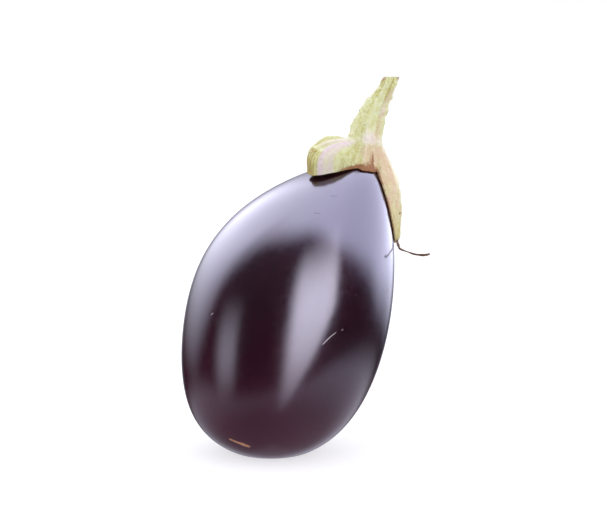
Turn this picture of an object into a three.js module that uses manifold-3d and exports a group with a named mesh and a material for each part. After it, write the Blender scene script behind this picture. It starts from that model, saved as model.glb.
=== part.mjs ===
// A globe eggplant as picked: one glossy fruit on a small flat spot, its fleshy cap of
// sepals (the calyx) and a short cut stem. Millimetres, +Z up, origin at the middle of
// the flat spot that the fruit rests on. The front is -Y and the fruit leans towards +X.
import * as THREE from 'three';
import { mergeVertices } from 'three/addons/utils/BufferGeometryUtils.js';
import Module from 'manifold-3d';

const wasm = await Module();
wasm.setup();

// ---------------------------------------------------------------- driving dimensions
const FRUIT_LENGTH = 139.9; // blossom end to stem end, along the fruit's own axis
const GIRTH = 44.77; // radius at the middle
const GIRTH_TAPER = -4.47; // the stem half is slimmer than the blossom half
const GIRTH_SQUARE = -1.93;
const GIRTH_CUBE = -8.66;
const BOW_SQUARE = 6.2; // the axis bows towards +X at both ends
const BOW_CUBE = 8.58;
const LEAN_RIGHT = THREE.MathUtils.degToRad(15.25);
const LEAN_BACK = THREE.MathUtils.degToRad(3);
const FRUIT_MIDDLE = new THREE.Vector3(8.68, 1.32, 65.66);
const FRUIT_RINGS = 46;
const FRUIT_SIDES = 56;

const SKIN_GAP = 0.3; // between the calyx and the skin, and between stem and calyx
const CROWN_START = 6.6; // distance along the skin where the crown's wall begins
const CROWN_BLEND = 8.5; // length over which the crown turns into a sepal
const CROWN_DROP = 6.5; // how far the stem's line carries down into the crown
const CUP_REACH = 7.8; // how far the cap reaches down between two sepals
const RIM_THICKNESS = 1.2;
const CALYX_SIDES = 96;
const CURLED_END = 1.07; // the underside comes down this much sooner than the top
const CALYX_INNER_RINGS = 12;
const CALYX_OUTER_RINGS = 14;

// Each sepal: turn of its midline (degrees, 0 is +X, 90 is the back), spread (degrees),
// tip (2 is rounded, less is pointed), reach along the skin, rise of its back above the
// skin, droop (how late it comes down again), lift of its tip off the skin, wall (its own
// thickness) and sweep of its tip.
const SEPALS = [
  { turn: 15, spread: 17, tip: 2, reach: 40, rise: 6.4, droop: 1.8, lift: 0, wall: 7, sweep: -15 },
  { turn: 63, spread: 15, tip: 1.4, reach: 36, rise: 4.6, droop: 2.2, lift: 1.5, wall: 3.4, sweep: 4 },
  { turn: 112, spread: 15, tip: 1.4, reach: 39, rise: 5.2, droop: 2.2, lift: 2.5, wall: 3.2, sweep: 5 },
  { turn: 160, spread: 17, tip: 1.7, reach: 20.5, rise: 9, droop: 5, lift: 6.5, wall: 2.8, sweep: 3 },
  { turn: 212, spread: 26, tip: 2, reach: 28.5, rise: 9.4, droop: 14, lift: 1.6, wall: 2.8, sweep: 7 },
  { turn: 274, spread: 26, tip: 2, reach: 10.8, rise: 3.2, droop: 3, lift: 0, wall: 7, sweep: 0 },
];

// The dried thread at the end of the right-hand sepal.
const THREAD_RADIUS = 0.7;
const THREAD_PATH = [
  [55.7, 3.4, 97.5],
  [55.9, 2.2, 94.6],
  [56.4, 1.2, 92.6],
  [57.2, 0.2, 91.2],
  [60.5, -1.0, 90.0],
  [63.6, -2.0, 89.1],
  [67.4, -3.0, 88.9],
  [70.0, -3.2, 89.4],
];

// Stem: middle of each section and its radius, from the crown to the cut.
const STEM_STATIONS = [
  { middle: [41.3, 6.0, 138.9], radius: 7.5 },
  { middle: [42.3, 6.5, 143.3], radius: 6.7 },
  { middle: [43.8, 7.0, 147.7], radius: 6.0 },
  { middle: [45.6, 7.4, 152.0], radius: 5.2 },
  { middle: [48.2, 7.8, 156.4], radius: 4.2 },
  { middle: [50.7, 8.2, 160.8], radius: 3.6 },
  { middle: [53.3, 8.6, 166.4], radius: 3.3 },
];
const STEM_SIDES = 24;
const STEM_RINGS = 14;
const STEM_RIDGES = 5;
const STEM_RIDGE_DEPTH = 0.05;
const CUT_NORMAL = new THREE.Vector3(0.02, 0.08, 1).normalize();

// ---------------------------------------------------------------- the fruit's surface
const lean = new THREE.Matrix4()
  .makeRotationY(LEAN_RIGHT)
  .multiply(new THREE.Matrix4().makeRotationX(-LEAN_BACK))
  .setPosition(FRUIT_MIDDLE);

// A point on the skin: angle 0 is the blossom end, pi the stem end.
function skinPoint(angle, turn) {
  const t = -Math.cos(angle);
  const radius = Math.sin(angle)
    * (GIRTH + GIRTH_TAPER * t + GIRTH_SQUARE * t * t + GIRTH_CUBE * t ** 3);
  const bow = BOW_SQUARE * t * t + BOW_CUBE * t ** 3;
  return new THREE.Vector3(
    radius * Math.cos(turn) + bow,
    radius * Math.sin(turn),
    (FRUIT_LENGTH / 2) * t,
  ).applyMatrix4(lean);
}

function skinNormal(angle, turn) {
  const step = 0.004;
  const safe = Math.min(Math.max(angle, 0.03), Math.PI - 0.03);
  const along = skinPoint(safe + step, turn).sub(skinPoint(safe - step, turn));
  const around = skinPoint(safe, turn + step).sub(skinPoint(safe, turn - step));
  return around.cross(along).normalize();
}

// The angle that lies a given length down the skin from the stem end.
function angleAtReach(reach, turn) {
  const steps = Math.max(4, Math.ceil(reach / 0.8));
  let angle = Math.PI;
  let before = skinPoint(angle, turn);
  let walked = 0;
  const stride = reach / steps / 34;
  while (walked < reach && angle > 0.4) {
    const next = skinPoint(angle - stride, turn);
    const length = next.distanceTo(before);
    if (walked + length >= reach) {
      return angle - (stride * (reach - walked)) / length;
    }
    walked += length;
    before = next;
    angle -= stride;
  }
  return angle;
}

// ---------------------------------------------------------------- helpers for solids
// Rows of points become one closed solid. The first and last rows are single points.
function solidFromRows(rows) {
  const positions = [];
  const starts = [];
  for (const row of rows) {
    starts.push(positions.length / 3);
    for (const point of row) positions.push(point.x, point.y, point.z);
  }
  const index = [];
  for (let i = 0; i + 1 < rows.length; i += 1) {
    const sides = Math.max(rows[i].length, rows[i + 1].length);
    for (let j = 0; j < sides; j += 1) {
      const k = (j + 1) % sides;
      const a = starts[i] + (rows[i].length > 1 ? j : 0);
      const b = starts[i] + (rows[i].length > 1 ? k : 0);
      const c = starts[i + 1] + (rows[i + 1].length > 1 ? j : 0);
      const d = starts[i + 1] + (rows[i + 1].length > 1 ? k : 0);
      if (a !== b) index.push(a, b, d);
      if (c !== d) index.push(a, d, c);
    }
  }
  const geometry = new THREE.BufferGeometry();
  geometry.setAttribute('position', new THREE.Float32BufferAttribute(positions, 3));
  geometry.setIndex(index);
  return geometry;
}

function toManifold(geometry) {
  const bare = geometry.clone();
  bare.deleteAttribute('normal');
  bare.deleteAttribute('uv');
  const merged = mergeVertices(bare, 1e-4);
  return new wasm.Manifold(new wasm.Mesh({
    numProp: 3,
    vertProperties: new Float32Array(merged.attributes.position.array),
    triVerts: new Uint32Array(merged.index.array),
  }));
}

function fromManifold(solid) {
  const mesh = solid.getMesh();
  const geometry = new THREE.BufferGeometry();
  geometry.setAttribute('position', new THREE.BufferAttribute(mesh.vertProperties, 3));
  geometry.setIndex(new THREE.BufferAttribute(mesh.triVerts, 1));
  geometry.computeVertexNormals();
  return geometry;
}

function named(name, geometry, color, roughness) {
  const material = new THREE.MeshStandardMaterial({ color, roughness, metalness: 0 });
  const mesh = new THREE.Mesh(geometry, material);
  mesh.name = name;
  return mesh;
}

const smooth = (x) => THREE.MathUtils.smoothstep(x, 0, 1);
const turnAt = (j, sides) => (2 * Math.PI * j) / sides;

// ---------------------------------------------------------------- fruit
function fruitGeometry() {
  const rows = [[skinPoint(0, 0)]];
  for (let i = 1; i < FRUIT_RINGS; i += 1) {
    const row = [];
    for (let j = 0; j < FRUIT_SIDES; j += 1) {
      row.push(skinPoint((Math.PI * i) / FRUIT_RINGS, turnAt(j, FRUIT_SIDES)));
    }
    rows.push(row);
  }
  rows.push([skinPoint(Math.PI, 0)]);
  const whole = toManifold(solidFromRows(rows));
  const below = new THREE.BoxGeometry(120, 120, 20).translate(0, 0, -10);
  return fromManifold(whole.subtract(toManifold(below)));
}

// ---------------------------------------------------------------- stem
const stemPath = new THREE.CatmullRomCurve3(
  STEM_STATIONS.map((station) => new THREE.Vector3(...station.middle)),
  false,
  'centripetal',
);

function stemRadius(along) {
  const place = along * (STEM_STATIONS.length - 1);
  const before = Math.min(Math.floor(place), STEM_STATIONS.length - 2);
  const share = place - before;
  return THREE.MathUtils.lerp(
    STEM_STATIONS[before].radius,
    STEM_STATIONS[before + 1].radius,
    share,
  );
}

// A point on the stem's surface; offset moves it along the stem's own line.
function stemPoint(along, turn, offset = 0) {
  const middle = stemPath.getPoint(along);
  const normal = stemPath.getTangent(along).lerp(CUT_NORMAL, smooth((along - 0.7) / 0.3));
  normal.normalize();
  const out = new THREE.Vector3(Math.cos(turn), Math.sin(turn), 0).transformDirection(lean);
  out.addScaledVector(normal, -out.dot(normal)).normalize();
  const ridge = 1 + STEM_RIDGE_DEPTH * Math.cos(STEM_RIDGES * turn + 0.6);
  return middle.addScaledVector(out, stemRadius(along) * ridge).addScaledVector(normal, offset);
}

function stemGeometry() {
  const rows = [];
  for (let i = 0; i <= STEM_RINGS; i += 1) {
    const row = [];
    for (let j = 0; j < STEM_SIDES; j += 1) {
      row.push(stemPoint(i / STEM_RINGS, turnAt(j, STEM_SIDES), i === 0 ? SKIN_GAP : 0));
    }
    rows.push(row);
  }
  const foot = stemPath.getPoint(0).addScaledVector(stemPath.getTangent(0), SKIN_GAP);
  rows.unshift([foot]);
  rows.push([stemPath.getPoint(1)]);
  return solidFromRows(rows);
}

// ---------------------------------------------------------------- calyx
// How strongly each sepal shapes the cap at a given turn; a power below 2 has a pointed peak.
function sepalPull(sepal, turn, power = 2) {
  const degrees = THREE.MathUtils.radToDeg(turn);
  const apart = THREE.MathUtils.euclideanModulo(degrees - sepal.turn + 180, 360) - 180;
  return Math.exp(-0.5 * Math.abs(apart / sepal.spread) ** power);
}

function sepalMix(turn, key) {
  let total = 1e-6;
  let sum = 0;
  for (const sepal of SEPALS) {
    const pull = sepalPull(sepal, turn) ** 1.5;
    total += pull;
    sum += pull * sepal[key];
  }
  return sum / total;
}

function capReach(turn) {
  let sum = 0;
  for (const sepal of SEPALS) {
    sum += ((sepal.reach - CUP_REACH) * sepalPull(sepal, turn, sepal.tip)) ** 4;
  }
  return CUP_REACH + sum ** 0.25;
}

// The cap's outer and inner heights above the skin, part of the way out to its edge.
function capHeights(turn, share) {
  const edge = SKIN_GAP + RIM_THICKNESS + sepalMix(turn, 'lift') * share ** 2;
  const rise = sepalMix(turn, 'rise');
  const droop = sepalMix(turn, 'droop');
  const outer = edge + rise * (1 - share ** droop);
  const under = edge + rise * (1 - Math.min(1, share * CURLED_END) ** droop);
  const wall = THREE.MathUtils.lerp(12, sepalMix(turn, 'wall'), smooth((share - 0.2) / 0.35));
  const thin = THREE.MathUtils.lerp(wall, RIM_THICKNESS, smooth((share - 0.6) / 0.4));
  return { outer, inner: Math.max(SKIN_GAP, under - thin) };
}

function capPoint(turn, reach, share, height) {
  const swept = turn + THREE.MathUtils.degToRad(sepalMix(turn, 'sweep')) * share ** 2;
  const angle = angleAtReach(reach, swept);
  return skinPoint(angle, swept).addScaledVector(skinNormal(angle, swept), height);
}

function calyxGeometry() {
  const turns = Array.from({ length: CALYX_SIDES }, (_, j) => turnAt(j, CALYX_SIDES));
  const rows = [[capPoint(0, 0.01, 0, SKIN_GAP)]];
  for (let i = 1; i <= CALYX_INNER_RINGS; i += 1) {
    const share = i / CALYX_INNER_RINGS;
    rows.push(turns.map((turn) => {
      const heights = capHeights(turn, share);
      return capPoint(turn, capReach(turn) * share, share, heights.inner);
    }));
  }
  for (let i = CALYX_OUTER_RINGS; i > 0; i -= 1) {
    const part = i / CALYX_OUTER_RINGS;
    rows.push(turns.map((turn) => {
      const full = capReach(turn);
      const reach = THREE.MathUtils.lerp(Math.min(CROWN_START, full - 0.8), full, part);
      const share = reach / full;
      const sepal = capPoint(turn, reach, share, capHeights(turn, share).outer);
      const blend = Math.min(CROWN_BLEND, full - CROWN_START);
      const neck = stemPoint(0, turn, -CROWN_DROP * part);
      return neck.lerp(sepal, smooth((reach - CROWN_START) / Math.max(blend, 0.8)));
    }));
  }
  rows.push(turns.map((turn) => stemPoint(0, turn)));
  rows.push([stemPath.getPoint(0)]);
  // The rows run from under the cap, round its edge and up to the stem.
  const shell = solidFromRows(rows);
  const cap = toManifold(shell);

  const ring = new THREE.Shape().absarc(0, 0, THREAD_RADIUS, 0, 2 * Math.PI);
  const path = new THREE.CatmullRomCurve3(
    THREAD_PATH.map((point) => new THREE.Vector3(...point)),
    false,
    'centripetal',
  );
  const thread = new THREE.ExtrudeGeometry(ring, {
    steps: 14,
    curveSegments: 4,
    extrudePath: path,
  });
  return fromManifold(cap.add(toManifold(thread)));
}

// ---------------------------------------------------------------- the object
const eggplant = new THREE.Group();
eggplant.name = 'eggplant';
eggplant.add(named('fruit', fruitGeometry(), 0x1b0b1c, 0.2));
eggplant.add(named('calyx', calyxGeometry(), 0xb9b683, 0.7));
eggplant.add(named('stem', stemGeometry(), 0xb4bb78, 0.7));

export default eggplant;
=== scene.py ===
"""Looks of the eggplant: glossy skin, fleshy green cap and ridged stem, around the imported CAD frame."""

import math

import bpy
import numpy as np
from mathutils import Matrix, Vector, noise

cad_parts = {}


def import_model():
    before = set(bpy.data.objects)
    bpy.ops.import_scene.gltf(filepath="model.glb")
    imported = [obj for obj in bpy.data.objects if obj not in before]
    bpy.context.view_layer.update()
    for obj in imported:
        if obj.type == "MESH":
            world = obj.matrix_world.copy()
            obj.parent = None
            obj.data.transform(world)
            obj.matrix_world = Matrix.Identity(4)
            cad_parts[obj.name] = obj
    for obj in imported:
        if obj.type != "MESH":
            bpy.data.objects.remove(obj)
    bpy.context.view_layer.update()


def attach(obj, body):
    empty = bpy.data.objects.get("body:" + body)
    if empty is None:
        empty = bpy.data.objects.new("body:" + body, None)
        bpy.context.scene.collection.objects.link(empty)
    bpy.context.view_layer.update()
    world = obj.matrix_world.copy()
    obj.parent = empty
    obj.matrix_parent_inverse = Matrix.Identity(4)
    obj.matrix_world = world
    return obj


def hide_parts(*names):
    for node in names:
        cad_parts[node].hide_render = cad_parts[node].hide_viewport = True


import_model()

MM = 0.001
TAU = 2 * math.pi

# ------------------------------------------------------------------ form shared with the CAD source (mm)
FRUIT_LENGTH = 139.9
GIRTH = 44.77
GIRTH_TAPER = -4.47
GIRTH_SQUARE = -1.93
GIRTH_CUBE = -8.66
BOW_SQUARE = 6.2
BOW_CUBE = 8.58
LEAN_RIGHT = math.radians(15.25)
LEAN_BACK = math.radians(3.0)
FRUIT_MIDDLE = np.array([8.68, 1.32, 65.66])

SKIN_GAP = 0.3
CROWN_START = 6.6
CROWN_BLEND = 8.5
CROWN_DROP = 6.5
CUP_REACH = 7.8
CROWN_WALL = 12.0
RIM_THICKNESS = 1.2
CURLED_END = 1.07  # the inner surface droops earlier than the outer one by this factor
SEPALS = [
    dict(turn=15, spread=17, tip=2, reach=40, rise=6.4, droop=1.8, lift=0, wall=7, sweep=-15),
    dict(turn=63, spread=15, tip=1.4, reach=36, rise=4.6, droop=2.2, lift=1.5, wall=3.4, sweep=4),
    dict(turn=112, spread=15, tip=1.4, reach=39, rise=5.2, droop=2.2, lift=2.5, wall=3.2, sweep=5),
    dict(turn=160, spread=17, tip=1.7, reach=20.5, rise=9, droop=5, lift=6.5, wall=2.8, sweep=3),
    dict(turn=212, spread=26, tip=2, reach=28.5, rise=9.4, droop=14, lift=1.6, wall=2.8, sweep=7),
    dict(turn=274, spread=26, tip=2, reach=10.8, rise=3.2, droop=3, lift=0, wall=7, sweep=0),
]
THREAD_PATH = [
    (55.7, 3.4, 97.5),
    (55.9, 2.2, 94.6),
    (56.4, 1.2, 92.6),
    (57.2, 0.2, 91.2),
    (60.5, -1.0, 90.0),
    (63.6, -2.0, 89.1),
    (67.4, -3.0, 88.9),
    (70.0, -3.2, 89.4),
]
STEM_STATIONS = [
    ((41.3, 6.0, 138.9), 7.5),
    ((42.3, 6.5, 143.3), 6.7),
    ((43.8, 7.0, 147.7), 6.0),
    ((45.6, 7.4, 152.0), 5.2),
    ((48.2, 7.8, 156.4), 4.2),
    ((50.7, 8.2, 160.8), 3.6),
    ((53.3, 8.6, 166.4), 3.3),
]
CUT_NORMAL = np.array([0.02, 0.08, 1.0]) / math.sqrt(0.02**2 + 0.08**2 + 1.0)


# ------------------------------------------------------------------ small number helpers
def smooth(x):
    """A soft step: 0 up to 0, 1 from 1 on."""
    x = np.clip(x, 0.0, 1.0)
    return x * x * (3 - 2 * x)


def mix(a, b, share):
    return a + (b - a) * share


def unit(v):
    return v / (np.linalg.norm(v, axis=-1, keepdims=True) + 1e-12)


def degrees_apart(turn, degrees):
    """How far a turn in radians is from a direction in degrees, between -180 and 180."""
    return (np.degrees(turn) - degrees + 180) % 360 - 180


def near_turn(turn, degrees, spread):
    """1 at the given turn, falling to 0 either side of it over about twice the spread."""
    return np.exp(-0.5 * (degrees_apart(turn, degrees) / spread) ** 2)


def noise_at(points, size, seed=0.0, octaves=3):
    """Smooth noise, about -1 to 1, at points in millimetres; size is its largest feature."""
    flat = np.asarray(points, float).reshape(-1, 3) / size + seed
    values = [noise.fractal(Vector(p), 1.0, 2.0, octaves) for p in flat]
    return np.array(values).reshape(np.asarray(points).shape[:-1])


# ------------------------------------------------------------------ the fruit's surface
def lean(points):
    """The fruit's tilt: back first, then to the right."""
    x, y, z = points[..., 0], points[..., 1], points[..., 2]
    back_y = y * math.cos(LEAN_BACK) + z * math.sin(LEAN_BACK)
    back_z = -y * math.sin(LEAN_BACK) + z * math.cos(LEAN_BACK)
    right_x = x * math.cos(LEAN_RIGHT) + back_z * math.sin(LEAN_RIGHT)
    right_z = -x * math.sin(LEAN_RIGHT) + back_z * math.cos(LEAN_RIGHT)
    return np.stack([right_x, back_y, right_z], -1)


def skin_point(angle, turn):
    """A point on the skin: angle 0 is the blossom end, pi the stem end."""
    angle, turn = np.broadcast_arrays(np.asarray(angle, float), np.asarray(turn, float))
    t = -np.cos(angle)
    radius = np.sin(angle) * (GIRTH + GIRTH_TAPER * t + GIRTH_SQUARE * t**2 + GIRTH_CUBE * t**3)
    bow = BOW_SQUARE * t**2 + BOW_CUBE * t**3
    local = np.stack([radius * np.cos(turn) + bow, radius * np.sin(turn), FRUIT_LENGTH / 2 * t], -1)
    return lean(local) + FRUIT_MIDDLE


def skin_normal(angle, turn):
    """Outward direction of the skin, from small steps along it and round it."""
    step = 0.004
    safe = np.clip(angle, 0.03, math.pi - 0.03)
    along = skin_point(safe + step, turn) - skin_point(safe - step, turn)
    around = skin_point(safe, turn + step) - skin_point(safe, turn - step)
    return unit(np.cross(around, along))


REACH_STEP = 0.25  # mm
REACH_MOST = 60.0  # mm
LOWEST_ANGLE = 0.9  # radians from the blossom end, where the table stops


def reach_table():
    """Angle on the skin for each length down it from the stem end, one row per degree of turn."""
    angles = np.linspace(math.pi, LOWEST_ANGLE, 900)
    reaches = np.arange(0.0, REACH_MOST, REACH_STEP)
    table = []
    for degree in range(361):
        line = skin_point(angles, np.full_like(angles, math.radians(degree)))
        walked = np.concatenate([[0.0], np.cumsum(np.linalg.norm(np.diff(line, axis=0), axis=1))])
        table.append(np.interp(reaches, walked, angles))
    return np.array(table)


ANGLES = reach_table()


def angle_at(reach, turn):
    """Angle on the skin at a length (mm) down it from the stem end."""
    degrees = np.degrees(turn) % 360.0
    row = np.floor(degrees).astype(int)
    place = np.clip(reach / REACH_STEP, 0, ANGLES.shape[1] - 1.001)
    column = np.floor(place).astype(int)
    a, b = degrees - row, place - column
    top = mix(ANGLES[row, column], ANGLES[row, column + 1], b)
    bottom = mix(ANGLES[row + 1, column], ANGLES[row + 1, column + 1], b)
    return mix(top, bottom, a)


# ------------------------------------------------------------------ the stem's line
def spline(values, along):
    """Smooth curve through evenly numbered values; along runs from 0 to 1, and a little past."""
    values = np.asarray(values, float)
    ends = [2 * values[0] - values[1]], [2 * values[-1] - values[-2]]
    padded = np.concatenate([ends[0], values, ends[1]])
    place = np.asarray(along, float) * (len(values) - 1)
    i = np.clip(np.floor(place).astype(int), 0, len(values) - 2)
    t = (place - i)[..., None] if values.ndim > 1 else place - i
    p0, p1, p2, p3 = padded[i], padded[i + 1], padded[i + 2], padded[i + 3]
    return 0.5 * (
        2 * p1
        + (p2 - p0) * t
        + (2 * p0 - 5 * p1 + 4 * p2 - p3) * t**2
        + (3 * p1 - p0 - 3 * p2 + p3) * t**3
    )


STEM_MIDDLES = [s[0] for s in STEM_STATIONS]
STEM_RADII = [s[1] for s in STEM_STATIONS]


def stem_frame(along, turn):
    """Middle, normal and outward direction of the stem's section."""
    middle = spline(STEM_MIDDLES, along)
    step = 0.01
    tangent = unit(spline(STEM_MIDDLES, along + step) - spline(STEM_MIDDLES, along - step))
    normal = unit(mix(tangent, CUT_NORMAL, smooth((along - 0.7) / 0.3)[..., None]))
    flat = np.stack([np.cos(turn), np.sin(turn), np.zeros_like(turn)], -1)
    out = lean(flat)
    out = unit(out - normal * np.sum(out * normal, -1, keepdims=True))
    return middle, normal, out


def stem_ridges(turn, along):
    """Height of the stem's ridges: five broad ones and fine grooves between them."""
    twist = turn + 0.5 * along
    broad = 0.045 * np.cos(5 * twist + 0.6)
    fine = 0.018 * np.cos(13 * twist + 1.1) + 0.010 * np.cos(29 * twist + 0.3)
    return broad + fine


def stem_point(along, turn, inward=0.0, offset=0.0):
    """A point on the stem's side: inward narrows it by a share, offset (mm) moves it along the stem."""
    along, turn = np.broadcast_arrays(np.asarray(along, float), np.asarray(turn, float))
    middle, normal, out = stem_frame(along, turn)
    radius = spline(STEM_RADII, along) * (1 + stem_ridges(turn, along)) * (1 - inward)
    return middle + out * radius[..., None] + normal * np.asarray(offset)[..., None]


# ------------------------------------------------------------------ the calyx
def sepal_pull(sepal, turn, power=2):
    """1 along a sepal's middle, falling to 0 beside it; a low power gives a pointed sepal."""
    apart = degrees_apart(turn, sepal["turn"])
    return np.exp(-0.5 * np.abs(apart / sepal["spread"]) ** power)


def sepal_mix(turn, key):
    """A sepal's value, blended smoothly from each sepal to the next."""
    total, value = 1e-6, 0.0
    for sepal in SEPALS:
        pull = sepal_pull(sepal, turn) ** 1.5
        total = total + pull
        value = value + pull * sepal[key]
    return value / total


def cap_reach(turn):
    """Length (mm) of the cap down the skin, from the stem end to its rim."""
    total = 0.0
    for sepal in SEPALS:
        total = total + ((sepal["reach"] - CUP_REACH) * sepal_pull(sepal, turn, sepal["tip"])) ** 4
    return CUP_REACH + total**0.25


def rim_wave(turn):
    """Small waves and nicks of the dry edge, in mm."""
    ring = np.stack([np.cos(turn) * 20, np.sin(turn) * 20, np.zeros_like(turn)], -1)
    return 0.45 * noise_at(ring, 5.0, 3.1) + 0.25 * noise_at(ring, 1.6, 7.7)


def cap_heights(turn, share):
    """Heights of the cap's outer and inner surface over the skin; share runs from crown to rim."""
    edge = SKIN_GAP + RIM_THICKNESS + sepal_mix(turn, "lift") * share**2
    rise, droop = sepal_mix(turn, "rise"), sepal_mix(turn, "droop")
    outer = edge + rise * (1 - share**droop)
    under = edge + rise * (1 - np.minimum(1.0, share * CURLED_END) ** droop)
    wall = mix(CROWN_WALL, sepal_mix(turn, "wall"), smooth((share - 0.2) / 0.35))
    thin = mix(wall, RIM_THICKNESS, smooth((share - 0.6) / 0.4))
    return outer, np.maximum(SKIN_GAP, under - thin)


def cap_place(turn, reach, share):
    """Skin point and normal under the cap, with each sepal swept to its own side."""
    swept = turn + np.radians(sepal_mix(turn, "sweep")) * share**2
    angle = angle_at(reach, swept)
    return skin_point(angle, swept), skin_normal(angle, swept)


# ------------------------------------------------------------------ meshes
def grid_faces(starts, counts):
    """Quads between rows that all have the same number of points; a row of one closes the end."""
    faces = []
    for i in range(len(starts) - 1):
        sides = max(counts[i], counts[i + 1])
        for j in range(sides):
            k = (j + 1) % sides
            a, b = starts[i] + j, starts[i] + k
            c, d = starts[i + 1] + j, starts[i + 1] + k
            if counts[i] == 1:
                faces.append((starts[i], d, c))
            elif counts[i + 1] == 1:
                faces.append((a, b, starts[i + 1]))
            else:
                faces.append((a, b, d, c))
    return faces


def new_piece(name, points, faces, material, masks=None):
    """A smoothly shaded piece from points in mm. masks maps a name to rows of values."""
    mesh = bpy.data.meshes.new(name)
    mesh.from_pydata([tuple(p) for p in np.asarray(points) * MM], [], faces)
    mesh.polygons.foreach_set("use_smooth", [True] * len(mesh.polygons))
    for key, values in (masks or {}).items():
        layer = mesh.attributes.new(key, "FLOAT", "POINT")
        layer.data.foreach_set("value", np.concatenate(values).astype(np.float32))
    mesh.materials.append(material)
    mesh.update()
    piece = bpy.data.objects.new(name, mesh)
    bpy.context.scene.collection.objects.link(piece)
    return piece


def mesh_from_rows(name, rows, material, masks=None, downwards=False):
    """One closed piece from rows of points in mm.

    The rows run upwards, or downwards if so stated, and the faces point outwards either way.
    """
    counts = [len(row) for row in rows]
    starts = list(np.concatenate([[0], np.cumsum(counts)[:-1]]).astype(int))
    faces = grid_faces(starts, counts)
    if downwards:
        faces = [face[::-1] for face in faces]
    return new_piece(name, np.concatenate(rows), faces, material, masks)


# ------------------------------------------------------------------ node helpers
def new_material(name):
    material = bpy.data.materials.new(name)
    material.use_nodes = True
    tree = material.node_tree
    shader = tree.nodes["Principled BSDF"]
    return material, tree, shader


def add(tree, kind, **settings):
    node = tree.nodes.new(kind)
    for key, value in settings.items():
        setattr(node, key, value)
    return node


def feed(tree, node, slot, value):
    """Sets a socket to a number or colour, or links it to another node's output."""
    socket = node.inputs[slot]
    if isinstance(value, bpy.types.NodeSocket):
        tree.links.new(value, socket)
    elif value is not None:
        socket.default_value = value


def math_node(tree, operation, a, b=None, clamp=False):
    node = add(tree, "ShaderNodeMath", operation=operation, use_clamp=clamp)
    feed(tree, node, 0, a)
    feed(tree, node, 1, b)
    return node.outputs[0]


def ramp(tree, value, low, high, to_low=0.0, to_high=1.0):
    """A smooth step from to_low at low to to_high at high, flat outside."""
    node = add(tree, "ShaderNodeMapRange", interpolation_type="SMOOTHSTEP", clamp=True)
    for slot, number in zip(range(5), (value, low, high, to_low, to_high)):
        feed(tree, node, slot, number)
    return node.outputs[0]


def blend_colour(tree, share, a, b):
    node = add(tree, "ShaderNodeMix", data_type="RGBA")
    feed(tree, node, 0, share)
    feed(tree, node, 6, a)
    feed(tree, node, 7, b)
    return node.outputs[2]


def noise_node(tree, place, scale, detail=3.0, rough=0.5, stretch=None):
    """Noise of about 0 to 1; scale counts its features per metre."""
    if stretch is not None:
        mapping = add(tree, "ShaderNodeMapping")
        mapping.inputs["Scale"].default_value = stretch
        tree.links.new(place, mapping.inputs["Vector"])
        place = mapping.outputs[0]
    node = add(tree, "ShaderNodeTexNoise")
    tree.links.new(place, node.inputs["Vector"])
    node.inputs["Scale"].default_value = scale
    node.inputs["Detail"].default_value = detail
    node.inputs["Roughness"].default_value = rough
    return node.outputs["Fac"]


def mask_of(tree, name):
    return add(tree, "ShaderNodeAttribute", attribute_name=name).outputs["Fac"]


def place_of(tree):
    return add(tree, "ShaderNodeTexCoord").outputs["Object"]


def near_line(tree, place, a, b, width):
    """1 on the line from a to b (mm), falling to 0 at the given width (mm)."""
    start, end = Vector(a) * MM, Vector(b) * MM
    length = max((end - start).length, 1e-6)
    direction = (end - start) / length
    away = add(tree, "ShaderNodeVectorMath", operation="SUBTRACT")
    tree.links.new(place, away.inputs[0])
    away.inputs[1].default_value = start
    dot = add(tree, "ShaderNodeVectorMath", operation="DOT_PRODUCT")
    tree.links.new(away.outputs[0], dot.inputs[0])
    dot.inputs[1].default_value = direction
    along = math_node(tree, "MINIMUM", math_node(tree, "MAXIMUM", dot.outputs["Value"], 0.0), length)
    onto = add(tree, "ShaderNodeVectorMath", operation="SCALE")
    onto.inputs[0].default_value = direction
    tree.links.new(along, onto.inputs["Scale"])
    rest = add(tree, "ShaderNodeVectorMath", operation="SUBTRACT")
    tree.links.new(away.outputs[0], rest.inputs[0])
    tree.links.new(onto.outputs[0], rest.inputs[1])
    size = add(tree, "ShaderNodeVectorMath", operation="LENGTH")
    tree.links.new(rest.outputs[0], size.inputs[0])
    return ramp(tree, size.outputs["Value"], 0.0, width * MM, 1.0, 0.0)


def near_lines(tree, place, lines):
    """The largest of near_line over several lines, each with its own width and strength."""
    largest = None
    for start, end, width, strength in lines:
        found = math_node(tree, "MULTIPLY", near_line(tree, place, start, end, width), strength)
        largest = found if largest is None else math_node(tree, "MAXIMUM", largest, found)
    return largest


def bump(tree, height, distance, strength=1.0, under=None):
    """Bumps of the given distance in metres, on top of the normals of an earlier bump."""
    node = add(tree, "ShaderNodeBump")
    node.inputs["Distance"].default_value = distance
    node.inputs["Strength"].default_value = strength
    tree.links.new(height, node.inputs["Height"])
    if under is not None:
        tree.links.new(under, node.inputs["Normal"])
    return node.outputs[0]


# ------------------------------------------------------------------ skin
SKIN_DARK = (0.0125, 0.0010, 0.0050, 1)
SKIN_RED = (0.046, 0.0040, 0.0150, 1)
SKIN_PALE = (0.30, 0.22, 0.20, 1)
SKIN_SCAR = (0.38, 0.16, 0.06, 1)
SKIN_SHEEN = (0.86, 0.84, 1.0, 1)
# Pale scratches and specks: start, end and width in mm, and strength.
SKIN_MARKS = (
    ((22.7, -41.1, 56.2), (25.6, -40.0, 59.0), 0.32, 1.0),
    ((25.6, -40.0, 59.0), (28.0, -38.9, 60.7), 0.26, 0.9),
    ((30.7, -37.5, 61.5), (31.0, -37.3, 61.8), 0.40, 0.6),
    ((-24.9, -29.9, 66.8), (-24.0, -30.5, 67.6), 0.26, 0.6),
)
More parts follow.
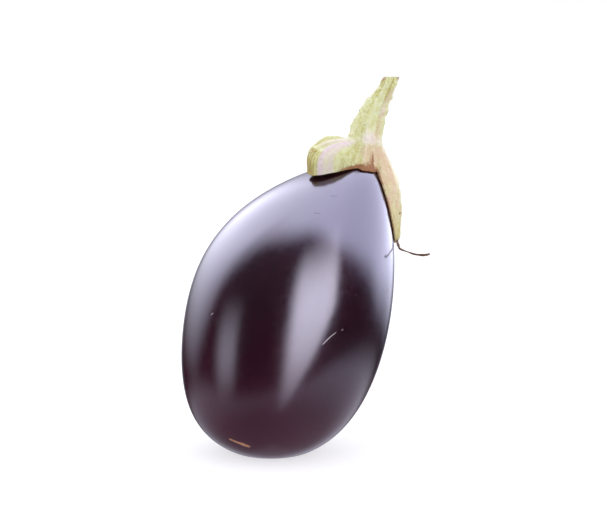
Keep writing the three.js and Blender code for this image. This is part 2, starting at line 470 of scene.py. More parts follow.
# Two faint dents and a dull speck, which only roughen the gloss.
SKIN_DENTS = (
    ((26.0, -19.7, 116.8), (28.6, -19.5, 116.5), 0.8, 1.0),
    ((19.1, -25.8, 110.1), (21.2, -26.1, 109.8), 0.7, 1.0),
    ((50.8, -15.6, 75.5), (51.0, -15.1, 74.1), 1.2, 1.0),
)
# The scar low on the left, thin and then broader.
SCAR_LINES = (
    ((-16.8, -26.6, 11.6), (-13.2, -27.5, 10.4), 1.5, 1.0),
    ((-13.2, -27.5, 10.4), (-9.8, -27.8, 9.0), 2.3, 1.0),
)


def skin_material():
    """Glossy aubergine skin, redder towards the blossom end, with its few marks and one scar."""
    material, tree, shader = new_material("eggplant_skin")
    place = place_of(tree)
    low = mask_of(tree, "blossom_side")
    streaks = noise_node(tree, place, 60, 4, 0.6, (1.0, 1.0, 0.25))
    clouds = noise_node(tree, place, 25, 3)
    cloudiness = math_node(tree, "MULTIPLY", math_node(tree, "SUBTRACT", clouds, 0.5), 0.8)
    redness = math_node(tree, "ADD", low, cloudiness)
    colour = blend_colour(tree, math_node(tree, "MULTIPLY", redness, 0.9, True), SKIN_DARK, SKIN_RED)
    colour = blend_colour(tree, ramp(tree, streaks, 0.50, 0.80, 0.0, 0.25), colour, SKIN_RED)
    specks = noise_node(tree, place, 1500, 1)
    colour = blend_colour(tree, ramp(tree, specks, 0.74, 0.80, 0.0, 0.12), colour, SKIN_PALE)

    marks = near_lines(tree, place, SKIN_MARKS)
    colour = blend_colour(tree, math_node(tree, "MULTIPLY", marks, 0.8), colour, SKIN_PALE)
    ragged = math_node(tree, "MULTIPLY", noise_node(tree, place, 800, 5, 0.75), 2.4)
    scar_shape = math_node(tree, "ADD", near_lines(tree, place, SCAR_LINES), ragged)
    scar = ramp(tree, scar_shape, 1.60, 2.05)
    colour = blend_colour(tree, scar, colour, SKIN_SCAR)
    tree.links.new(colour, shader.inputs["Base Color"])

    fine = noise_node(tree, place, 420, 4, 0.6)
    rough = ramp(tree, fine, 0.3, 0.8, 0.17, 0.23)
    rough = math_node(tree, "MAXIMUM", rough, math_node(tree, "MULTIPLY", scar, 0.7))
    dents = math_node(tree, "MULTIPLY", near_lines(tree, place, SKIN_DENTS), 0.55)
    rough = math_node(tree, "MAXIMUM", rough, dents)
    tree.links.new(rough, shader.inputs["Roughness"])
    shader.inputs["IOR"].default_value = 1.5
    shader.inputs["Specular IOR Level"].default_value = 1.0
    shader.inputs["Specular Tint"].default_value = SKIN_SHEEN
    shader.inputs["Coat Weight"].default_value = 0.35
    shader.inputs["Coat Roughness"].default_value = 0.10
    waves = bump(tree, noise_node(tree, place, 90, 2), 0.00006, 0.6)
    grain = bump(tree, fine, 0.000012, 0.5, waves)
    raised = bump(tree, math_node(tree, "MAXIMUM", marks, scar), 0.00015, 0.6, grain)
    tree.links.new(raised, shader.inputs["Normal"])
    return material


# ------------------------------------------------------------------ calyx and stem
GREEN_PALE = (0.66, 0.68, 0.44, 1)
GREEN_MIDDLE = (0.57, 0.56, 0.23, 1)
OLIVE = (0.40, 0.35, 0.095, 1)
CREAM = (0.78, 0.72, 0.62, 1)
LILAC = (0.68, 0.56, 0.61, 1)
PEACH = (0.63, 0.46, 0.32, 1)
RUST = (0.27, 0.115, 0.050, 1)
BROWN = (0.060, 0.022, 0.014, 1)
PITH = (0.55, 0.52, 0.36, 1)
DRIED_LIGHT = (0.16, 0.085, 0.045, 1)


def green_material(name):
    """Fleshy mottled green tissue, with one further colour for each of the colour masks; these include
    painted shade and painted highlight.
    """
    material, tree, shader = new_material(name)
    place = place_of(tree)
    patches = noise_node(tree, place, 130, 4, 0.6)
    mottle = noise_node(tree, place, 420, 4, 0.7)
    fine = noise_node(tree, place, 1100, 5, 0.65)

    def wavered(mask, patch_share, fine_share):
        """A mask with its border broken up by the patches and the fine grain."""
        a = math_node(tree, "MULTIPLY", math_node(tree, "SUBTRACT", patches, 0.5), patch_share)
        b = math_node(tree, "MULTIPLY", math_node(tree, "SUBTRACT", fine, 0.5), fine_share)
        return math_node(tree, "ADD", mask_of(tree, mask), math_node(tree, "ADD", a, b))

    colour = blend_colour(tree, ramp(tree, mottle, 0.36, 0.64, 0.0, 0.8), GREEN_PALE, GREEN_MIDDLE)
    # Olive: partly the tissue's own tone, partly painted shade in the stem's grooves, in the left sepal's
    # valley and under the cap.
    colour = blend_colour(tree, ramp(tree, wavered("olive_and_shade", 0.9, 0.9), 0.25, 1.0), colour, OLIVE)
    # Cream: the pale tone near the crown, and painted highlight along the sepals' midribs, the stem's ridge
    # tops and the front of the crown.
    colour = blend_colour(tree, ramp(tree, wavered("cream_and_highlight", 0.6, 0.4), 0.2, 0.9), colour, CREAM)
    # Lilac: a painted highlight along the left sepal's ridge and on the cap's front near the crown; on the
    # stem it is lilac at its front right.
    colour = blend_colour(tree, ramp(tree, wavered("lilac_and_highlight", 0.8, 0.6), 0.15, 0.95), colour, LILAC)
    colour = blend_colour(tree, ramp(tree, wavered("dry", 1.0, 1.2), 0.25, 1.0), colour, PEACH)
    colour = blend_colour(tree, ramp(tree, wavered("rust", 0.6, 1.0), 0.35, 0.95), colour, RUST)
    colour = blend_colour(tree, ramp(tree, fine, 0.53, 0.70, 0.0, 0.35), colour, OLIVE)
    specks = noise_node(tree, place, 460, 3, 0.7)
    colour = blend_colour(tree, ramp(tree, specks, 0.62, 0.74, 0.0, 0.40), colour, OLIVE)
    # Brown: the stem's cut corners, and the foot of the cap's lip, where it is partly painted shade.
    colour = blend_colour(tree, ramp(tree, wavered("rim", 0.0, 0.3), 0.4, 0.9), colour, BROWN)
    tree.links.new(colour, shader.inputs["Base Color"])
    shader.inputs["Specular IOR Level"].default_value = 0.35
    tree.links.new(ramp(tree, fine, 0.3, 0.7, 0.50, 0.74), shader.inputs["Roughness"])
    shader.inputs["Subsurface Weight"].default_value = 0.10
    shader.inputs["Subsurface Radius"].default_value = (0.002, 0.0018, 0.0010)
    shader.inputs["Subsurface Scale"].default_value = 0.5
    coarse = bump(tree, patches, 0.0004, 0.4)
    grain = bump(tree, fine, 0.00018, 0.7, coarse)
    tree.links.new(grain, shader.inputs["Normal"])
    return material


def cut_material():
    """Cut end of the stem: brown outer ring, pale pith, fine pores."""
    material, tree, shader = new_material("stem_cut_face")
    place = place_of(tree)
    out = mask_of(tree, "outward")
    pores = noise_node(tree, place, 1500, 3, 0.7)
    unevenness = math_node(tree, "MULTIPLY", math_node(tree, "SUBTRACT", pores, 0.5), 0.35)
    shade = math_node(tree, "ADD", out, unevenness)
    colour = blend_colour(tree, ramp(tree, shade, 0.15, 0.45), PITH, CREAM)
    colour = blend_colour(tree, ramp(tree, shade, 0.58, 0.72), colour, RUST)
    colour = blend_colour(tree, ramp(tree, shade, 0.80, 0.95), colour, BROWN)
    tree.links.new(colour, shader.inputs["Base Color"])
    shader.inputs["Roughness"].default_value = 0.85
    tree.links.new(bump(tree, pores, 0.0003, 0.8), shader.inputs["Normal"])
    return material


def dry_material():
    """Withered brown tissue of the thread and the prickles."""
    material, tree, shader = new_material("dried_brown")
    place = place_of(tree)
    fibres = noise_node(tree, place, 900, 4, 0.7)
    colour = blend_colour(tree, ramp(tree, fibres, 0.35, 0.65), BROWN, DRIED_LIGHT)
    tree.links.new(colour, shader.inputs["Base Color"])
    shader.inputs["Roughness"].default_value = 0.7
    tree.links.new(bump(tree, fibres, 0.0002, 0.8), shader.inputs["Normal"])
    return material


# ------------------------------------------------------------------ pieces
FRUIT_ROWS = 220
FRUIT_SIDES = 256
FOOT_ROUNDING = 0.35
FOOT_SINK = 0.012  # mm: about what the rounding leaves on the flat spot, taken off again
SWELL = 0.16
SWELL_SIZE = 34.0
BLUSH_START = 1.62  # radians from the blossom end at which its redness begins
BLUSH_WIDTH = 1.1


def build_fruit():
    """The fruit's skin, with slight swellings and a softly rounded edge round the flat spot."""
    turns = np.linspace(0, TAU, FRUIT_SIDES, endpoint=False)
    rows, low = [], []
    for i in range(FRUIT_ROWS + 1):
        angle = math.pi * i / FRUIT_ROWS
        at = turns if 0 < i < FRUIT_ROWS else turns[:1]
        points = skin_point(np.full(len(at), angle), at)
        normals = skin_normal(np.full(len(at), angle), at)
        swell = SWELL * noise_at(points, SWELL_SIZE, 1.3, 1)
        points = points + normals * swell[:, None]
        points[:, 2] = 0.5 * (points[:, 2] + np.sqrt(points[:, 2] ** 2 + FOOT_ROUNDING**2))
        points[:, 2] = np.maximum(points[:, 2] - FOOT_SINK, 0.0)
        rows.append(points)
        low.append(smooth((BLUSH_START - angle) / BLUSH_WIDTH) * np.ones(len(at)))
    return mesh_from_rows("fruit_skin", rows, skin_material(), {"blossom_side": low})


CAP_SIDES = 600
CAP_OUTER = 84
CAP_INNER = 26
STEM_ROWS = 90
LIP_LEVELS = (0.85, 0.5, 0.15)
LIP_BULGE = 0.35
THIN_EDGE = 0.55  # the sepals' edges are this much thinner than the solid's
CUT_LEVELS = (0.0, 0.2, 0.4, 0.6, 0.8, 0.92)
PITH_DEPTH = 0.35
SOCKET_INWARD = 0.08  # the plug and its socket are narrower than the stem by this share
SOCKET_DEPTH = 1.2
PLUG_DEPTH = 0.6
SHORTEST = 0.8  # mm: the least width of cap outside the crown, and of the blend between them
# Relief of cap and stem: heights and sizes in mm.
RIB_HEIGHT = 0.9
FIBRE_HEIGHT = 0.30
FIBRE_LINES = 40  # fibres in a full turn
WRINKLE_HEIGHT = 0.35
WRINKLE_SIZE = 4.0
CREASE_HEIGHT = 0.14
CREASE_SIZE = 1.3
WART_HEIGHT = 1.3
WART_SIZE = 3.6
GRAIN_HEIGHT = 0.20
GRAIN_SIZE = 1.3


def rib_pattern(turn, share):
    """Heights along each sepal, about 0 to 1: a midrib, and finer fibres beside it."""
    midribs, fibres = 0.0, 0.0
    for sepal in SEPALS:
        apart = degrees_apart(turn, sepal["turn"])
        pull = sepal_pull(sepal, turn)
        width = 4.0 + 3.0 * (1 - share)
        midribs = midribs + pull * np.exp(-((apart / width) ** 2))
        wave = np.cos(np.radians(apart) * FIBRE_LINES - 3.0 * share * np.sign(apart))
        fibres = fibres + pull * (0.5 + 0.5 * wave)
    return midribs, fibres


MASKS = ("olive_and_shade", "cream_and_highlight", "lilac_and_highlight", "dry", "rust", "rim")
# Masks under the cap: the underside's browner colour, and painted shade.
INNER_SHADE = dict(olive_and_shade=0.6, cream_and_highlight=0.0, lilac_and_highlight=0.0, dry=0.3, rust=0.5, rim=0.0)  # under the cap
CUFF_LINES = 130  # in a full turn: the fine dark lines on the left sepal's curled end


def stem_masks_at(along, turns, ridge):
    """Colour masks of the stem: pale green on the left, pinkish then olive on the right."""
    height = ridge / 0.06
    upper = smooth((along - 0.5) / 0.35)
    right_corner = near_turn(turns, 350, 36) * smooth((along - 0.88) / 0.10)
    left_corner = near_turn(turns, 205, 26) * smooth((along - 0.90) / 0.08)
    foot = smooth((0.25 - along) / 0.3) * near_turn(turns, 300, 40)
    return {
        # Olive where the ridges are low is painted shade in the grooves.
        "olive_and_shade": 0.28 - 0.28 * height + 0.36 * near_turn(turns, 352, 14) + 0.20 * upper,
        # Paler where the ridges are high is painted highlight on the ridge tops.
        "cream_and_highlight": 0.15 + 0.25 * height + 0.95 * foot,
        "lilac_and_highlight": 0.60 * near_turn(turns, 312, 15) * smooth((along - 0.3) / 0.2) * (1 - upper * 0.6)
        + 0.40 * foot,
        "dry": 0.60 * near_turn(turns, 318, 22) * (1 - 0.5 * upper),
        "rust": 0.9 * right_corner + 0.8 * left_corner,
        "rim": 0.8 * right_corner * smooth((along - 0.93) / 0.07) + 0.5 * left_corner,
    }


def cap_masks_at(turns, share, margin, midribs, fibres):
    """Colour masks of the cap; margin is the distance to its edge in mm."""
    front = near_turn(turns, 305, 32)
    left = near_turn(turns, 218, 20)
    cuff = near_turn(turns, 213, 7) * smooth((share - 0.76) / 0.08)
    right = near_turn(turns, 345, 16)
    right_side = near_turn(turns, 12, 13) * smooth((share - 0.4) / 0.3)
    back_left = near_turn(turns, 180, 12)
    above_cuff = near_turn(turns, 207, 8) * smooth((share - 0.3) / 0.15) * (1 - smooth((share - 0.7) / 0.1))
    valley = near_turn(turns, 246, 12) * smooth((share - 0.25) / 0.3)
    near_edge = smooth((3.0 - margin) / 3.0)
    burnt_width = 1.8 + 1.6 * near_turn(turns, 298, 12)
    burnt = smooth((burnt_width - margin) / burnt_width) * near_turn(turns, 284, 24)
    notch = near_turn(turns, 303, 3) * smooth((2.6 - margin) / 2.0)
    lines = (0.5 + 0.5 * np.cos(turns * CUFF_LINES + 5 * share)) ** 1.5
    outer_half = smooth((share - 0.3) / 0.4)
    return {
        # Olive on the cap: painted shade in the valley beside the left sepal, olive tone elsewhere.
        "olive_and_shade": 0.30 * (1 - midribs) * (0.3 + 0.7 * fibres) * (1 - 0.6 * front)
        + cuff * (0.65 + 0.5 * lines) + 0.35 * valley + 0.7 * above_cuff
        + 0.5 * back_left * smooth((share - 0.2) / 0.3) + 0.70 * right_side,
        # Cream along the midribs and at the front near the crown is painted highlight.
        "cream_and_highlight": 0.50 + 0.6 * midribs * (0.5 + 0.5 * fibres) - 0.45 * outer_half
        + 0.6 * near_edge * left - cuff + 0.75 * front * (1 - outer_half),
        # Lilac on the cap is a painted highlight.
        "lilac_and_highlight": near_turn(turns, 227, 8) * smooth((share - 0.2) / 0.3) * (0.6 + 0.4 * fibres)
        - 0.8 * cuff + 0.70 * front * smooth((0.75 - share) / 0.3),
        "dry": 1.20 * right * (0.55 + 0.45 * fibres) * (1 - 0.45 * smooth((share - 0.45) / 0.4))
        + 0.80 * front * smooth((share - 0.45) / 0.3) + 0.15 * right_side,
        "rust": 1.05 * burnt + 0.9 * notch + cuff * lines
        + 0.7 * smooth((0.9 - margin) / 0.9) * (1 - left),
        "rim": np.zeros_like(turns),
    }


def stem_warts(points, along, turns):
    """Small warts and grain on the stem, as an outward shift of its points."""
    _, _, out = stem_frame(np.full(CAP_SIDES, along), turns)
    warts = WART_HEIGHT * np.maximum(noise_at(points, WART_SIZE, 5.5, 2), 0.0) ** 1.2
    grain = GRAIN_HEIGHT * noise_at(points * np.array([1, 1, 0.5]), GRAIN_SIZE, 9.0, 2)
    return out * (warts + grain)[:, None]


def outer_surface(turns, full):
    """Rows from the cut end of the stem down over the crown to the rim, and their colour masks.

    full is the cap's reach at each turn. The last result is the row where stem and cap meet.
    """
    first = np.minimum(CROWN_START, full - SHORTEST)
    blend = np.maximum(np.minimum(CROWN_BLEND, full - CROWN_START), SHORTEST)
    outer, masks = [], {key: [] for key in MASKS}

    def record(values):
        for key in MASKS:
            masks[key].append(np.clip(values[key], 0, 1) * np.ones(CAP_SIDES))

    for i in range(STEM_ROWS + 1):
        along = 1.0 - i / STEM_ROWS
        points = stem_point(np.full(CAP_SIDES, along), turns)
        points = points + stem_warts(points, along, turns) * smooth((1.02 - along) / 0.1)
        outer.append(points)
        record(stem_masks_at(along, turns, stem_ridges(turns, along)))
    seam = len(outer) - 1

    # The stem's foot goes on down into the crown and blends into the sepals.
    for i in range(1, CAP_OUTER + 1):
        part = (i / CAP_OUTER) ** 0.9
        reach = mix(first, full, part)
        share = np.clip(reach / full, 0, 1)
        skin, normal = cap_place(turns, reach, share)
        height, _ = cap_heights(turns, share)
        height = height - THIN_EDGE * (1 - smooth((full - reach) / 1.6))
        sepal = skin + normal * height[:, None]
        neck = stem_point(np.zeros(CAP_SIDES), turns, 0.0, np.full(CAP_SIDES, -CROWN_DROP * part))
        weight = smooth((reach - CROWN_START) / blend)
        neck = neck + stem_warts(neck, 0.0, turns) * (1 - smooth(part / 0.4))
        points = mix(neck, sepal, weight[:, None])
        midribs, fibres = rib_pattern(turns, share)
        near_rim = smooth((full - reach) / 1.2)
        wrinkle = WRINKLE_HEIGHT * noise_at(points, WRINKLE_SIZE, 2.2, 3)
        wrinkle = wrinkle + CREASE_HEIGHT * noise_at(points, CREASE_SIZE, 6.2, 2)
        relief = RIB_HEIGHT * (midribs - 0.25) + FIBRE_HEIGHT * (fibres - 0.5)
        detail = (relief * smooth(part / 0.4) + wrinkle * smooth(part / 0.15)) * near_rim
        points = points + normal * detail[:, None]
        outer.append(points)
        lower = cap_masks_at(turns, share, full - reach, midribs, fibres)
        upper = stem_masks_at(0.0, turns, stem_ridges(turns, 0.0))
        record({key: mix(upper[key], lower[key], smooth(part / 0.3)) for key in MASKS})
    return outer, masks, seam


def build_cap(turns, full, outer, masks, seam):
    """The calyx: outer surface from the seam down, a rounded lip, and the inner surface."""
    inner = []
    for i in range(CAP_INNER, 0, -1):
        share = np.full(CAP_SIDES, i / CAP_INNER)
        skin, normal = cap_place(turns, full * share, share)
        _, height = cap_heights(turns, share)
        inner.append(skin + normal * height[:, None])
    lip_skin, lip_normal = cap_place(turns, full + LIP_BULGE, np.ones(CAP_SIDES))
    high, low = cap_heights(turns, np.ones(CAP_SIDES))
    lip = []
    for level in LIP_LEVELS:
        lip.append(lip_skin + lip_normal * mix(low, high - THIN_EDGE, level)[:, None])

    tip_skin, tip_normal = cap_place(turns[:1], np.zeros(1), np.zeros(1))
    floor = tip_skin + tip_normal * SKIN_GAP
    socket = stem_point(np.zeros(CAP_SIDES), turns, SOCKET_INWARD, np.full(CAP_SIDES, -SOCKET_DEPTH))
    socket_middle = socket.mean(axis=0, keepdims=True)
    rows = [socket_middle, socket] + outer[seam:] + lip + inner + [floor]
    cap_masks = {}
    for key in MASKS:
        edge = masks[key][-1]
        # The lip goes brown towards the skin: its dry brown edge, and painted shade under it.
        on_lip = [edge if key != "rim" else np.full(CAP_SIDES, (1 - level) ** 2) for level in LIP_LEVELS]
        under = [np.full(len(row), INNER_SHADE[key]) for row in inner + [floor]]
        top = [masks[key][seam][:1], masks[key][seam]]
        cap_masks[key] = top + masks[key][seam:] + on_lip + under
    return mesh_from_rows("calyx_cap", rows, green_material("calyx_green"), cap_masks, True)


def build_stem(turns, outer, masks, seam):
    """The stem: a cut end with a rim and slightly sunken pith, and a plug in the cap's socket."""
    cut_rows, cut_out = [], []
    top = outer[0]
    middle = top.mean(axis=0, keepdims=True)
    _, up, _ = stem_frame(np.ones(1), turns[:1])
    for level in CUT_LEVELS:
        ring = mix(middle, top, level)
        sunk = -PITH_DEPTH * (1 - level**2) + 0.18 * noise_at(ring, 0.9, 4.0, 2)
        ring = ring + up * sunk[:, None]
        cut_rows.append(ring if level else ring.mean(axis=0, keepdims=True))
        cut_out.append(np.full(len(cut_rows[-1]), level))
    plug = stem_point(np.zeros(CAP_SIDES), turns, SOCKET_INWARD, np.full(CAP_SIDES, -PLUG_DEPTH))
    plug_rows = [plug, plug.mean(axis=0, keepdims=True)]
    rows = cut_rows + outer[: seam + 1] + plug_rows
    stem_masks = {}
    for key in MASKS:
        start = [np.zeros(len(row)) for row in cut_rows]
        end = [np.zeros(len(row)) for row in plug_rows]
        stem_masks[key] = start + masks[key][: seam + 1] + end
    stem_masks["outward"] = cut_out + [np.ones(len(row)) for row in rows[len(cut_rows):]]
    stem = mesh_from_rows("stem_stalk", rows, green_material("stem_green"), stem_masks, True)
    stem.data.materials.append(cut_material())
    for polygon in stem.data.polygons:
        if polygon.index < CAP_SIDES * len(cut_rows):
            polygon.material_index = 1
    return stem


def build_cap_and_stem():
    """Both pieces, the rows of the surface they share, and the row where they meet."""
    turns = np.linspace(0, TAU, CAP_SIDES, endpoint=False)
    full = cap_reach(turns) + rim_wave(turns)
    outer, masks, seam = outer_surface(turns, full)
    cap = build_cap(turns, full, outer, masks, seam)
    stem = build_stem(turns, outer, masks, seam)
    return cap, stem, outer, seam


def shared_normals(pieces, outer, seam):
    """Smooth shading across the seam between cap and stem, which share one surface."""
    grid = np.array(outer)
    down = np.zeros_like(grid)
    down[1:-1] = grid[2:] - grid[:-2]
    down[0], down[-1] = grid[1] - grid[0], grid[-1] - grid[-2]
    around = np.roll(grid, -1, 1) - np.roll(grid, 1, 1)
    normals = unit(np.cross(around, down))
    centre = grid.mean(axis=1, keepdims=True)
    if np.sum((grid[: seam + 1] - centre[: seam + 1]) * normals[: seam + 1]) < 0:
        normals = -normals
    seam_normals = normals[seam]
    for piece, row_start in pieces:
        mesh = piece.data
        custom = [Vector(v.normal) for v in mesh.vertices]
        for j in range(CAP_SIDES):
            custom[row_start + j] = Vector(seam_normals[j])
        mesh.normals_split_custom_set_from_vertices(custom)


THREAD_SIDES = 14
THREAD_ROWS = 70
THREAD_RADII = (0.62, 0.34)  # mm, at its root and at its end
THREAD_KNOB = 1.25  # the last tenth is this much thicker


def build_thread(material):
    """The withered tip of the right sepal: a twisted, slightly flat thread."""
    turns = np.linspace(0, TAU, THREAD_SIDES, endpoint=False)
    rows = []
    for i in range(THREAD_ROWS + 1):
        along = i / THREAD_ROWS
        middle = spline(THREAD_PATH, np.array(along))
        before = spline(THREAD_PATH, np.array(along - 0.01))
        ahead = unit(spline(THREAD_PATH, np.array(along + 0.01)) - before)
        side = unit(np.cross(ahead, np.array([0.0, 1.0, 0.15])))
        other = np.cross(ahead, side)
        radius = mix(*THREAD_RADII, along) * (1 + 0.25 * math.sin(23 * along + 1) * math.sin(9 * along))
        if along > 0.9:
            radius *= THREAD_KNOB
        flat = 1.0 + 0.3 * np.cos(2 * turns + 7 * along)
        circle = np.cos(turns)[:, None] * side + np.sin(turns)[:, None] * other
        ring = middle + radius * flat[:, None] * circle
        if i == 0:
            rows.append(ring.mean(axis=0, keepdims=True))
        rows.append(ring)
        if i == THREAD_ROWS:
            rows.append(ring.mean(axis=0, keepdims=True))
    return mesh_from_rows("dried_thread", rows, material)


PRICKLE_RADIUS = 0.42
PRICKLE_TIP = 0.04
PRICKLE_ROOT = 0.5  # how deep its foot is sunk
PRICKLE_BEND = 0.18


def build_prickles(material, spots):
    """Short curved prickles, as one piece; each spot is (foot, direction, length) in mm."""
    rings, sides = 5, 8
    points, faces = [], []
    for foot, direction, length in spots:
        ahead = unit(np.asarray(direction, float))
        side = unit(np.cross(ahead, np.array([0.31, 0.95, 0.2])))
        other = np.cross(ahead, side)
        start = len(points)
        for i in range(rings):
            along = i / rings
            bend = side * (PRICKLE_BEND * length * along**2)
            middle = np.asarray(foot) + ahead * (length * along - PRICKLE_ROOT) + bend
            radius = PRICKLE_RADIUS * (1 - along) ** 1.2 + PRICKLE_TIP
            for j in range(sides):
                turn = TAU * j / sides
                points.append(middle + radius * (math.cos(turn) * side + math.sin(turn) * other))
        points.append(np.asarray(foot) + ahead * (length - PRICKLE_ROOT) + side * (PRICKLE_BEND * length))
        points.append(np.asarray(foot) - ahead * PRICKLE_ROOT)
        tip, base = len(points) - 2, len(points) - 1
        for i in range(rings - 1):
            for j in range(sides):
                k = (j + 1) % sides
                a, b = start + i * sides + j, start + i * sides + k
                faces.append((a, b, b + sides, a + sides))
        last = start + (rings - 1) * sides
        for j in range(sides):
            k = (j + 1) % sides
            faces.append((last + j, last + k, tip))
            faces.append((start + k, start + j, base))
    return new_piece("prickles", points, faces, material)


fruit = build_fruit()
cap, stem, outer_rows, seam_row = build_cap_and_stem()
cap_seam_start = 1 + CAP_SIDES
stem_seam_start = 1 + (len(CUT_LEVELS) - 1 + seam_row) * CAP_SIDES
shared_normals([(cap, cap_seam_start), (stem, stem_seam_start)], outer_rows, seam_row)
dried = dry_material()
thread = build_thread(dried)


# Row down from the cut end or from the seam, turn in degrees, length in mm.
STEM_PRICKLES = ((53, 190, 1.0), (36, 150, 1.0), (66, 60, 1.1), (26, 75, 0.9), (70, 250, 0.8))
CAP_PRICKLES = ((55, 8, 1.7), (52, 64, 1.5), (38, 112, 1.4), (66, 114, 1.5), (40, 18, 1.3), (44, 206, 1.0))
PRICKLE_SLANT = 0.35


def prickle_spots():
    """Foot, direction and length of every prickle, standing off the surface and slanting upwards."""
    spots = []
    columns = CAP_SIDES / 360.0
    on_cap = tuple((seam_row + row, degrees, length) for row, degrees, length in CAP_PRICKLES)
    for row, degrees, length in STEM_PRICKLES + on_cap:
        column = int(degrees * columns) % CAP_SIDES
        here = outer_rows[row][column]
        around = outer_rows[row][(column + 2) % CAP_SIDES] - outer_rows[row][column - 2]
        down = outer_rows[row + 1][column] - outer_rows[row - 1][column]
        normal = unit(np.cross(down, around))
        if np.dot(normal, here - outer_rows[row].mean(axis=0)) < 0:
            normal = -normal
        spots.append((here, normal - unit(down) * PRICKLE_SLANT, length))
    return spots


prickles = build_prickles(dried, prickle_spots())

for piece in (fruit, cap, stem, thread, prickles):
    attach(piece, "root")
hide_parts("fruit")
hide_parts("calyx")
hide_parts("stem")

# ------------------------------------------------------------------ camera
CAMERA_DROP = math.radians(8.0)  # how far it looks down from level
CAMERA_PLACE = (0.014415, -0.738487, 0.187846)
camera_data = bpy.data.cameras.new("camera")
camera_data.lens = 100
camera_data.sensor_width = 36
camera_data.clip_start = 0.01
camera = bpy.data.objects.new("camera", camera_data)
camera.location = CAMERA_PLACE
camera.rotation_euler = (math.radians(90) - CAMERA_DROP, 0, 0)
bpy.context.scene.collection.objects.link(camera)
bpy.context.scene.camera = camera

# ------------------------------------------------------------------ studio
def curve_node(tree, degrees, points, low, high):
    """A smooth curve of values from low to high against azimuth in degrees (-180 to 180)."""
    node = add(tree, "ShaderNodeFloatCurve")
    feed(tree, node, 1, math_node(tree, "DIVIDE", math_node(tree, "ADD", degrees, 180.0), 360.0))
    curve = node.mapping.curves[0]
    places = [((turn + 180) / 360, (value - low) / (high - low)) for turn, value in points]
    curve.points[0].location = places[0]
    curve.points[1].location = places[-1]
    for place in places[1:-1]:
        curve.points.new(*place)
    for point in curve.points:
        point.handle_type = "AUTO_CLAMPED"
    node.mapping.update()
    scaled = math_node(tree, "MULTIPLY", node.outputs[0], high - low)
    return math_node(tree, "ADD", scaled, low)


# Round the object, from the front (0) to its right (90) and its left (-90), in degrees:
# how high the white tent begins, how softly, and how far below the horizon the white card ends.
TENT_EDGE = (
    (-180, 8), (-150, 10), (-122, 9), (-102, 17), (-90, 34), (-76, 51), (-30, 60), (0, 59), (18, 54),
    (30, 47), (60, 24), (90, 4), (116, -8), (145, -9), (165, 0), (180, 8),
)
TENT_SOFTNESS = ((-180, 12), (-140, 24), (-90, 32), (-60, 15), (0, 11), (54, 8), (150, 9), (180, 12))
CARD_EDGE = ((-180, -24), (-110, -17), (-45, -31), (20, -33), (60, -25), (120, -22), (180, -24))
TENT_POWER_LEFT = 5.4
TENT_POWER_RIGHT = 4.5
TENT_TINT_LEFT = (0.84, 0.85, 1.0)
TENT_TINT_RIGHT = (0.765, 0.785, 1.0)
STRIP_TINT = (0.93, 0.92, 1.0)
ROOM_TINT = (0.86, 0.86, 1.0)
SOFT_TINT = (0.98, 0.98, 1.0)


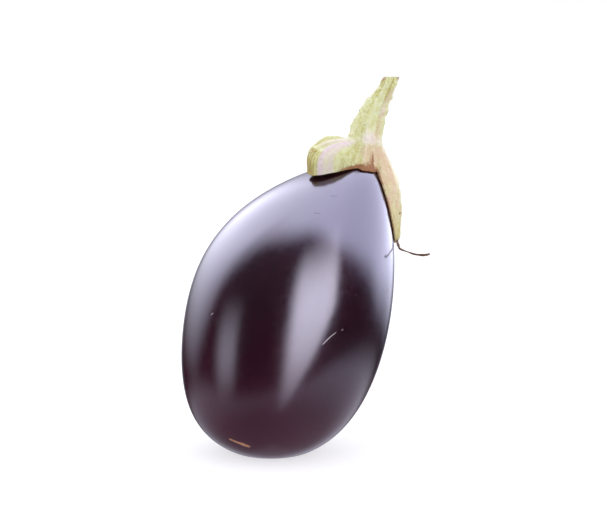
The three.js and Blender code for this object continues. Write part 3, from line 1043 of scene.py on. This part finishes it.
def studio_world():
    """A white tent round the object, open to a dark room at the front, with two strip lights."""
    world = bpy.data.worlds.new("studio")
    bpy.context.scene.world = world
    world.use_nodes = True
    world.cycles.sampling_method = "NONE"
    tree = world.node_tree
    tree.nodes.clear()
    direction = add(tree, "ShaderNodeTexCoord").outputs["Generated"]
    split = add(tree, "ShaderNodeSeparateXYZ")
    tree.links.new(direction, split.inputs[0])
    x, y, z = split.outputs

    def times(a, b):
        return math_node(tree, "MULTIPLY", a, b)

    to_degrees = 180 / math.pi
    azimuth = times(math_node(tree, "ARCTAN2", x, times(y, -1.0)), to_degrees)
    elevation = times(math_node(tree, "ARCSINE", z), to_degrees)

    edge = curve_node(tree, azimuth, TENT_EDGE, -90, 90)
    softness = curve_node(tree, azimuth, TENT_SOFTNESS, 0, 60)
    above = math_node(tree, "DIVIDE", math_node(tree, "SUBTRACT", elevation, edge), softness)
    tent = ramp(tree, above, -1.0, 1.0)
    tent = times(tent, ramp(tree, x, 0.1, 0.9, TENT_POWER_LEFT, TENT_POWER_RIGHT))
    # Straight behind the object the tent is dim up to about 50 degrees, and goes on dimly lower.
    back = ramp(tree, math_node(tree, "ABSOLUTE", azimuth), 150.0, 174.0)
    low_back = times(back, ramp(tree, elevation, 45.0, 65.0, 1.0, 0.0))
    tent = times(tent, math_node(tree, "SUBTRACT", 1.0, times(low_back, 0.84)))
    behind = times(back, ramp(tree, elevation, -22.0, -4.0, 0.12, 0.6))
    tent = math_node(tree, "MAXIMUM", tent, behind)

    # The white card below is brighter to the right, and dimmer straight down.
    card_start = curve_node(tree, azimuth, CARD_EDGE, -90, 90)
    card = ramp(tree, math_node(tree, "SUBTRACT", card_start, elevation), -5.0, 7.0)
    card = times(card, ramp(tree, x, -0.3, 0.8, 0.50, 0.95))
    card = times(card, ramp(tree, elevation, -55.0, -22.0, 0.35, 1.0))

    def strip(left, right, slant, low, high, power, soft):
        """A tall strip light between two azimuths; slant narrows it below the horizon."""
        below = math_node(tree, "MINIMUM", elevation, 0.0)
        far = math_node(tree, "ADD", times(below, slant), right)
        a = ramp(tree, math_node(tree, "SUBTRACT", azimuth, left), -soft, soft)
        b = ramp(tree, math_node(tree, "SUBTRACT", far, azimuth), -soft * 0.6, soft * 0.6)
        over = ramp(tree, elevation, high[0], high[1], 1.0, 0.0)
        under = ramp(tree, elevation, low[0], low[1])
        return times(times(times(a, b), times(over, under)), power)

    right = strip(4.0, 49.0, slant=0.8, low=(-56.0, 8.0), high=(8.0, 54.0), power=7.0, soft=8.0)
    left = strip(-76.0, -54.0, slant=0.0, low=(-34.0, -8.0), high=(-6.0, 20.0), power=1.9, soft=9.0)

    def tinted(strength, colour):
        node = add(tree, "ShaderNodeVectorMath", operation="SCALE")
        node.inputs[0].default_value = colour
        tree.links.new(strength, node.inputs["Scale"])
        return node.outputs[0]

    def total(a, b):
        node = add(tree, "ShaderNodeVectorMath", operation="ADD")
        tree.links.new(a, node.inputs[0])
        tree.links.new(b, node.inputs[1])
        return node.outputs[0]

    tent_light = total(
        tinted(times(tent, ramp(tree, x, -0.6, 0.7, 1.0, 0.0)), TENT_TINT_LEFT),
        tinted(times(tent, ramp(tree, x, -0.6, 0.7, 0.0, 1.0)), TENT_TINT_RIGHT),
    )
    strips = tinted(math_node(tree, "ADD", right, left), STRIP_TINT)
    room = ramp(tree, elevation, -10.0, 40.0, 0.01, 0.11)
    low_light = tinted(math_node(tree, "ADD", card, room), ROOM_TINT)
    glossy = total(total(tent_light, strips), low_light)
    diffuse = tinted(ramp(tree, elevation, -30.0, 70.0, 0.55, 1.45), SOFT_TINT)

    path = add(tree, "ShaderNodeLightPath")
    light = blend_colour(tree, path.outputs["Is Glossy Ray"], diffuse, glossy)
    seen = blend_colour(tree, path.outputs["Is Camera Ray"], light, (1, 1, 1, 1))
    background = add(tree, "ShaderNodeBackground")
    tree.links.new(seen, background.inputs["Color"])
    tree.links.new(background.outputs[0], add(tree, "ShaderNodeOutputWorld").inputs["Surface"])


FLOOR_HALF = 3.0  # metres
FLOOR_WHITE = (0.44, 0.44, 0.45, 1)
FLOOR_GLOW = (0.975, 0.97, 1.0, 1)
FLOOR_GLOW_POWER = 0.68


def studio_floor():
    """A plain white floor. Reflections look through it to the tent's light."""
    corners = [(-FLOOR_HALF, -FLOOR_HALF, 0), (FLOOR_HALF, -FLOOR_HALF, 0)]
    corners += [(FLOOR_HALF, FLOOR_HALF, 0), (-FLOOR_HALF, FLOOR_HALF, 0)]
    mesh = bpy.data.meshes.new("floor")
    mesh.from_pydata(corners, [], [(0, 1, 2, 3)])
    floor = bpy.data.objects.new("floor", mesh)
    bpy.context.scene.collection.objects.link(floor)
    material = bpy.data.materials.new("white_floor")
    material.use_nodes = True
    tree = material.node_tree
    tree.nodes.clear()
    white = add(tree, "ShaderNodeBsdfDiffuse")
    white.inputs["Color"].default_value = FLOOR_WHITE
    glow = add(tree, "ShaderNodeEmission")
    glow.inputs["Color"].default_value = FLOOR_GLOW
    glow.inputs["Strength"].default_value = FLOOR_GLOW_POWER
    lit = add(tree, "ShaderNodeAddShader")
    tree.links.new(white.outputs[0], lit.inputs[0])
    tree.links.new(glow.outputs[0], lit.inputs[1])
    path = add(tree, "ShaderNodeLightPath")
    choice = add(tree, "ShaderNodeMixShader")
    tree.links.new(path.outputs["Is Glossy Ray"], choice.inputs[0])
    tree.links.new(lit.outputs[0], choice.inputs[1])
    tree.links.new(add(tree, "ShaderNodeBsdfTransparent").outputs[0], choice.inputs[2])
    tree.links.new(choice.outputs[0], add(tree, "ShaderNodeOutputMaterial").inputs["Surface"])
    mesh.materials.append(material)


studio_world()
studio_floor()
bpy.context.scene.view_settings.view_transform = "Standard"
